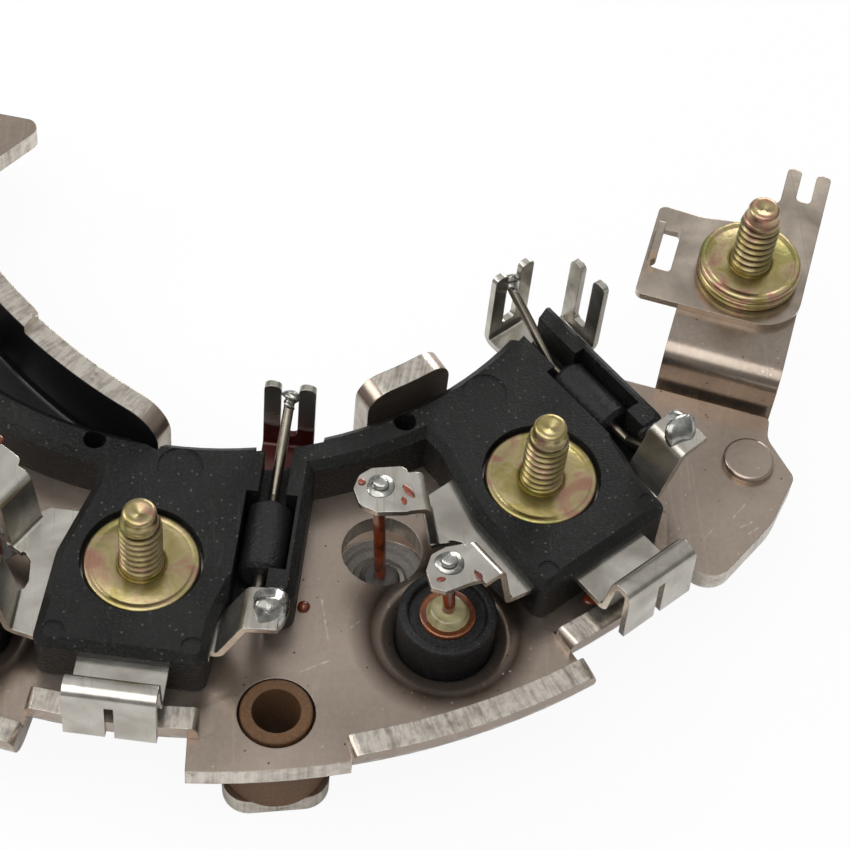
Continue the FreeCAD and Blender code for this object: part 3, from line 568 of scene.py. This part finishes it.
def gridMesh(name, points, capped):
    # points is a (rows, columns, 3) array in mm, closed across its columns; quads join neighbours, and where it is
    # capped, fans close the first and the last row on their middle points
    rows, cols = points.shape[:2]
    i = np.arange(rows - 1)[:, None] * cols
    j = np.arange(cols)
    k = (j + 1) % cols
    faces = np.stack([i + j, i + k, i + cols + k, i + cols + j], -1).reshape(-1, 4).tolist()
    verts = points.reshape(-1, 3)
    if capped:
        verts = np.concatenate([verts, points[:1].mean(1), points[-1:].mean(1)])
        last = (rows - 1) * cols
        faces += np.stack([k, j, np.full(cols, rows * cols)], -1).tolist()
        faces += np.stack([last + j, last + k, np.full(cols, rows * cols + 1)], -1).tolist()
    mesh = bpy.data.meshes.new(name)
    mesh.from_pydata((verts * mm).tolist(), [], faces)
    mesh.shade_smooth()
    mesh.update()
    return mesh


def mergeMesh(source, target, distance, recalculate=False):
    # writes the source mesh with its doubled points merged into the target
    work = bmesh.new()
    work.from_mesh(source)
    bmesh.ops.remove_doubles(work, verts=work.verts, dist=distance)
    if recalculate:
        bmesh.ops.recalc_face_normals(work, faces=work.faces)
    work.to_mesh(target)
    work.free()


def writeLayer(mesh, name, domain, values):
    mesh.attributes.new(name, "FLOAT", domain).data.foreach_set("value", values.astype(np.float32))


def waves(count, seed, size):
    # a smooth closed wave round a circle: four sines with seeded phases
    rng = np.random.default_rng(seed)
    t = np.linspace(0, 2 * math.pi, count, endpoint=False)
    total = np.zeros(count)
    for k in range(1, 5):
        total += np.sin(k * t + rng.uniform(0, 6.28)) / k
    return 1 + size * total


def dressNode(node, name, material, limit=32.0, mark=None):
    # a copy of a solid's mesh with its points merged; edges steeper than the limit in degrees stay sharp
    mesh = bpy.data.meshes.new(name)
    mergeMesh(nodes[node].data, mesh, 2e-6)
    # the solids' stored normals no longer fit the merged points
    if "custom_normal" in mesh.attributes:
        mesh.attributes.remove(mesh.attributes["custom_normal"])
    mesh.shade_smooth()
    mesh.set_sharp_from_angle(angle=math.radians(limit))
    if mark:
        mark(mesh)
    linkPiece(name, mesh, material, node)


def faceArrays(mesh):
    count = len(mesh.polygons)
    centre = np.empty(count * 3)
    normal = np.empty(count * 3)
    mesh.polygons.foreach_get("center", centre)
    mesh.polygons.foreach_get("normal", normal)
    return centre.reshape(-1, 3) / mm, normal.reshape(-1, 3)


# the sheet's bends, whose faces aren't cut: radii about the ring and about the flange's centre, and heights
sheetShape = {"tabOuter": 43.6, "lipInner": 75.5, "lipOuter": 77.4, "flangeInner": 72.7, "flangeOuter": 75.4,
              "aboveFace": 13.5, "topLow": 14.6, "paintedShadeLow": 12, "limit": 24.0}


def shearMark(mesh):
    # 1 on the sheet's cut edges: level faces above the sheet, and walls that don't face along a bend's own radius
    v = sheetShape
    c, n = faceArrays(mesh)
    x, y, z = c.T
    steep = np.abs(n[:, 2])
    fx, fy = ring["flangeCentre"]
    radius, far = np.hypot(x, y), np.hypot(x - fx, y - fy)
    outward = np.abs((x * n[:, 0] + y * n[:, 1]) / radius) > 0.97
    outwardFlange = np.abs(((x - fx) * n[:, 0] + (y - fy) * n[:, 1]) / far) > 0.97
    onLip = (radius < v["tabOuter"]) | (radius > v["lipOuter"]) | (np.abs(radius - v["lipInner"]) < 0.3)
    onFlange = (np.abs(far - v["flangeInner"]) < 0.3) | (np.abs(far - v["flangeOuter"]) < 0.3)
    bends = (outward & onLip & (z > v["aboveFace"])) | (outwardFlange & onFlange)
    cut = ((steep > 0.9) & (z > v["topLow"])) | ((steep < 0.3) & ~bends)
    # -1 on the flange's side that faces the block, which is painted black as shade
    paintedShadeOrVarnish = outwardFlange & (np.abs(far - v["flangeOuter"]) < 0.4) & (steep < 0.3) & (z > v["paintedShadeLow"])
    writeLayer(mesh, "shear", "FACE", np.where(paintedShadeOrVarnish, -1.0, cut))


dressNode("positive_plate", "positivePlate", "plated_steel", sheetShape["limit"], shearMark)
dressNode("negative_plate", "negativePlate", "plated_steel", sheetShape["limit"], shearMark)
dressNode("terminal_block", "terminalBlock", "black_moulding")
dressNode("collector_strip", "collectorStrip", "varnishedTin")
dressNode("output_bracket", "outputBracket", "dullNickel")
dressNode("output_fork_plate", "outputForkPlate", "warmTin")
for i in range(1, 4):
    dressNode("phase_busbar_%d" % i, "phaseBusbar%d" % i, "tinned_metal")
print("plates, block and busbars ready")

# studs with their threads: radii, heights and pitch in mm
studShape = {"shank": 2.5, "radius": 2.413, "root": 1.86, "pitch": 1.058, "dogRadius": 1.9, "around": 72,
             "perPitch": 16}
phaseStud = {**studShape, "headRadius": 4.2, "headLow": 15.9, "seat": 17.2, "shankTop": 19.85, "threadTop": 27.7,
             "dogTop": 29.5}
outputStud = {**studShape, "headRadius": 4.5, "headLow": 15.6, "seat": 17.6, "shankTop": 23.1, "threadTop": 30.7,
              "dogTop": 32.5}


def makeStud(name, node, place, v, turn):
    # radius over height: head, thread, dog point with a dished end; the thread is a rounded triangle wave of
    # (height / pitch - angle / full turn), faded in and out over one pitch
    tip, full, root, head = v["dogRadius"], v["radius"], v["root"], v["headRadius"]
    low, seat, bottom, top, end = (v[k] for k in ("headLow", "seat", "shankTop", "threadTop", "dogTop"))
    rows = int((top - bottom) / v["pitch"] * v["perPitch"])
    z = [low, low, low + 0.25, seat - 0.2, seat, seat, bottom - 0.1, bottom]
    r = [0.02, head - 0.3, head, head, head - 0.2, v["shank"], v["shank"], full]
    body = len(z)
    z += list(np.linspace(bottom + 0.02, top - 0.3, rows)) + [top, top + 0.05]
    r += [full] * rows + [tip + 0.12, tip]
    z += [end - 0.45, end - 0.18, end - 0.03, end, end - 0.02, end - 0.35, end - 0.42]
    r += [tip, tip - 0.1, tip - 0.32, tip - 0.55, 1.05, 0.3, 0.02]
    z, r = np.array(z), np.array(r)
    t = np.linspace(0, 2 * math.pi, v["around"], endpoint=False)
    turnShare = (z[:, None] / v["pitch"] - t[None, :] / (2 * math.pi) + turn) % 1.0
    wave = np.clip(np.abs(turnShare - 0.5) * 2 * 1.28 - 0.10, 0, 1)
    inThread = np.zeros(len(z))
    inThread[body:body + rows] = 1
    fade = np.clip((top - z) / v["pitch"], 0, 1) * np.clip((z - bottom) / 0.3, 0, 1) * inThread
    depth = wave * fade[:, None]
    radius = r[:, None] - (full - root) * depth
    endTaper = np.clip((z - (top - 1.1)) / 1.1, 0, 1) * inThread
    radius = radius - (endTaper * 0.25)[:, None] * (radius - root) / (full - root + 1e-9)
    points = np.stack([place[0] + radius * np.cos(t), place[1] + radius * np.sin(t),
                       np.repeat(z[:, None], len(t), 1)], -1)
    mesh = gridMesh(name, points, True)
    writeLayer(mesh, "groove", "POINT", np.append(depth.ravel(), (0.0, 0.0)))
    linkPiece(name, mesh, "yellow_zinc", node)


studPlaces = [onModule((ring["studCircle"], 0, 0), angle) for angle in moduleAngles]
for i, place in enumerate(studPlaces):
    makeStud("phaseStud%d" % (i + 1), "phase_stud_%d" % (i + 1), place, phaseStud, 0.3 * i)
makeStud("outputStud", "output_stud", ring["output"], outputStud, 0.1)
print("studs ready")

# washers with a coined rim
washerShape = {"bore": 2.52, "boreLow": 2.8, "rim": 0.35, "groove": 0.1, "around": 128}
phaseWasher = {**washerShape, "radius": 6.5, "low": 18.0, "high": 19.65}
outputWashers = [{**washerShape, "radius": 6.2, "low": low, "high": low + 1.2} for low in (20.5, 21.7)]


def makeWasher(name, node, place, v):
    # half section from the bore round the rim and back; the top face steps down a little inside the rim
    outer, low, high, rim, bore = (v[k] for k in ("radius", "low", "high", "rim", "bore"))
    inner, dip = outer - 1.0, high - v["groove"]
    section = np.array([(v["boreLow"], low), (outer - rim, low), (outer, low + rim), (outer, high - rim),
                        (outer - 0.1, high - 0.12), (outer - rim, high), (inner + 0.25, high), (inner + 0.12, dip),
                        (inner - 0.05, dip), (inner - 0.2, high - 0.03), (bore + 0.5, high - 0.03),
                        (bore + 0.1, high - 0.06), (bore, high - 0.2), (v["boreLow"], high - 0.5)])
    t = np.linspace(0, 2 * math.pi, v["around"], endpoint=False)
    points = np.stack([place[0] + section[:, :1] * np.cos(t), place[1] + section[:, :1] * np.sin(t),
                       np.repeat(section[:, 1:], len(t), 1)], -1)
    mesh = gridMesh(name, np.concatenate([points, points[:1]], 0), False)
    mergeMesh(mesh, mesh, 1e-7, True)
    linkPiece(name, mesh, "yellow_zinc", node)


for i, place in enumerate(studPlaces):
    makeWasher("studWasher%d" % (i + 1), "stud_washer_%d" % (i + 1), place, phaseWasher)
for i, v in enumerate(outputWashers):
    makeWasher("outputWasher%d" % (i + 1), "output_washer_%d" % (i + 1), ring["output"], v)
print("washers ready")

# solder: domes on the lead tabs with the leads' tips in them, and lumps at the terminal and the fork
solderShape = {"radius": 1.6, "height": 0.4, "around": 36, "rings": 12, "power": 1.3, "stretch": (1.0, 1.0)}
tipShape = {"radius": 1.0, "height": 0.75, "around": 24, "rings": 8, "power": 7.0, "stretch": (1.0, 0.9)}
sideShape = {"width": 1.9, "around": 28, "rows": 30}
forkShape = {**sideShape, "width": 0.85}
# places are (radial, along) or (radial, along, up) in a module, the last number of each is its seed
solderTabs = (("Lower", (65.6, -18.6), 3), ("Upper", (53.2, -18.3), 8))
solderLumps = (("Side", (62.6, 13.4, 18.6), (67.9, 15.2, 25.2), sideShape, 21),
               ("Fork", (39.9, 13.4, 22.0), (37.9, 13.4, 23.9), forkShape, 31))


def makeDome(name, centre, v, seed, material, turn=0.0):
    # height over a wavy disc: (1 - share^2)^(1 / power), and a flat underside that closes it
    s = np.linspace(1.0, 0.03, v["rings"])
    t = np.linspace(0, 2 * math.pi, v["around"], endpoint=False)
    rim = waves(v["around"], seed, 0.07)
    lift = v["height"] * (1 - s ** 2) ** (1 / v["power"])
    px = v["stretch"][0] * v["radius"] * s[:, None] * np.cos(t) * rim
    py = v["stretch"][1] * v["radius"] * s[:, None] * np.sin(t) * rim
    c, q = math.cos(turn), math.sin(turn)
    top = np.stack([centre[0] + px * c - py * q, centre[1] + px * q + py * c,
                    centre[2] + np.repeat(lift[:, None], len(t), 1)], -1)
    under = top[:1].copy()
    under[..., 2] = centre[2] - 0.04
    linkPiece(name, gridMesh(name, np.concatenate([under, top], 0), True), material)


def makeLump(name, start, end, v, seed):
    # a lumpy drop round the line from start to end: the radius swells from a thin neck to a fat end and closes
    share = np.linspace(0, 1, v["rows"])
    swell = 0.5 + 0.75 * share ** 1.5
    close = np.sqrt(np.clip(1 - ((share - 0.5) / 0.5) ** 6, 0.002, 1))
    t = np.linspace(0, 2 * math.pi, v["around"], endpoint=False)
    rng = np.random.default_rng(seed)
    lumps = 1 + sum(rng.uniform(0.07, 0.17) * np.sin(k * t[None, :] + m * share[:, None] * 5 + rng.uniform(0, 6.28))
                    for k, m in ((1, 1.0), (2, 1.7), (3, 0.8), (1, 3.1), (2, 4.2)))
    radius = v["width"] * (swell * close)[:, None] * lumps
    axis = (end - start) / np.linalg.norm(end - start)
    side = np.cross(axis, (0, 0, 1.0))
    side /= np.linalg.norm(side)
    other = np.cross(axis, side)
    middle = start + share[:, None, None] * (end - start)
    points = middle + radius[..., None] * (np.cos(t)[None, :, None] * side + np.sin(t)[None, :, None] * other)
    linkPiece(name, gridMesh(name, points, True), "solder")


for i, angle in enumerate(moduleAngles):
    n = str(i + 1)
    for label, place, seed in solderTabs:
        centre = onModule((*place, ring["tabTop"] - 0.02), angle)
        makeDome("solder" + label + n, centre, solderShape, seed + i, "solder")
        makeDome("solderTip" + label + n, centre + (0, 0, 0.35), tipShape, seed + 40 + i, "solder")
    for label, start, end, shape, seed in solderLumps:
        makeLump("solder" + label + n, onModule(start, angle), onModule(end, angle), shape, seed + i)
print("solder ready")

# drops of varnish as (module, radial, along, height, radius, lift, stretch, turn)
dropShape = {"around": 28, "rings": 9, "power": 2.2, "seed": 60}
drops = [(0, 54.9, -29.8, 13.38, 0.75, 0.75, 1.0, 0.0), (0, 51.6, -19.6, 25.38, 0.45, 0.3, 1.1, 0.4),
         (0, 55.6, -16.2, 25.38, 0.42, 0.14, 2.6, 2.2), (0, 56.3, -17.4, 25.38, 0.34, 0.12, 1.8, 1.6),
         (0, 68.6, -17.0, 25.38, 0.4, 0.14, 2.0, 2.0), (0, 66.6, -20.6, 25.38, 0.35, 0.12, 1.6, 0.3),
         (1, 50.8, -17.8, 25.38, 0.8, 0.3, 1.4, 0.2), (1, 67.0, -16.4, 25.38, 0.8, 0.25, 1.5, 1.2),
         (2, 51.2, -16.9, 25.38, 0.8, 0.3, 1.3, 0.6), (0, 73.6, -3.0, 13.38, 0.8, 0.35, 1.4, 0.3)]
for i, (module, radial, along, up, radius, lift, stretch, turn) in enumerate(drops):
    shape = {**dropShape, "radius": radius, "height": lift, "stretch": (stretch, 1.0)}
    makeDome("varnishDrop%d" % (i + 1), onModule((radial, along, up), moduleAngles[module]), shape,
             dropShape["seed"] + i, "varnished_lead", turn)
print("varnish ready")

# the diodes' seals: a glass bead of this radius in a metal ring
sealShape = {"beadRadius": 2.35}
for kind, material in (("positive", "copper_seal"), ("negative", "plainSeal")):
    for i in range(1, 4):
        node = "%s_seal_%d" % (kind, i)
        low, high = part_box(node)
        beadX, beadY = ((low[k] + high[k]) / 2 / mm for k in (0, 1))

        def beadMark(mesh):
            centres = faceArrays(mesh)[0]
            off = np.hypot(centres[:, 0] - beadX, centres[:, 1] - beadY)
            writeLayer(mesh, "bead", "FACE", off < sealShape["beadRadius"])

        dressNode(node, "%sSeal%d" % (kind, i), material, mark=beadMark)
print("seals ready")

# every node that isn't replaced keeps its own mesh and gets its finish
slots = {s["node"]: s["material_slot"] for s in frame["record"]["subparts"]}
looks = {"exciter_leads_%d" % i: "dullTin" for i in range(1, 4)}
for node, obj in nodes.items():
    obj.data.materials.clear()
    obj.data.materials.append(materials[looks.get(node, slots[node])])
print("nodes dressed")
